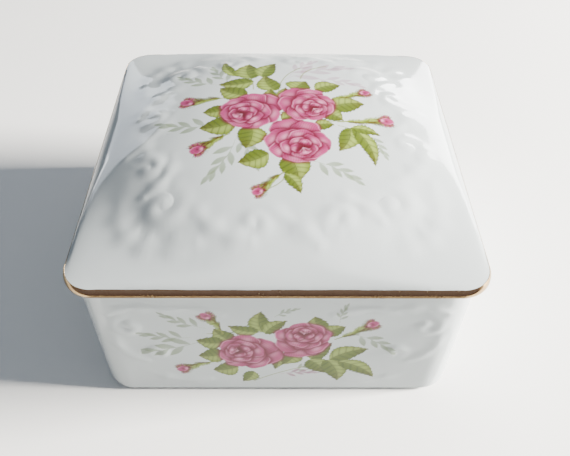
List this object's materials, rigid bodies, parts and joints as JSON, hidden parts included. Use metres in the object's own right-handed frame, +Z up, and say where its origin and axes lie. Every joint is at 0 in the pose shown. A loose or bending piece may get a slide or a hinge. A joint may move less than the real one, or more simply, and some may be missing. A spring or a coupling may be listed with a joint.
{
  "type": "trinket box",
  "caption": "Square porcelain trinket box with a lift-off pillow lid, a gilt lid edge and a locating flange inside.",
  "frame": {"origin": "centre of the footprint, on the plane the foot rests on", "axes": "+Z up, the front wall faces -Y, +X to the right of someone facing the front"},
  "size_m": [0.125, 0.125, 0.0715],
  "materials": {
    "base_box": "glossy",
    "lid_shell": "glossy",
    "gilt_rim": "burnished"
  },
  "bodies": {
    "base": {"base_box": "base_box"},
    "lid": {"lid_shell": "lid_shell", "gilt_rim": "gilt_rim"}
  },
  "joints": [
    {"name": "lid_lift", "type": "slide", "parent": "base", "child": "lid", "axis": [0, 0, 1], "range_m": [0, 0.06]}
  ]
}
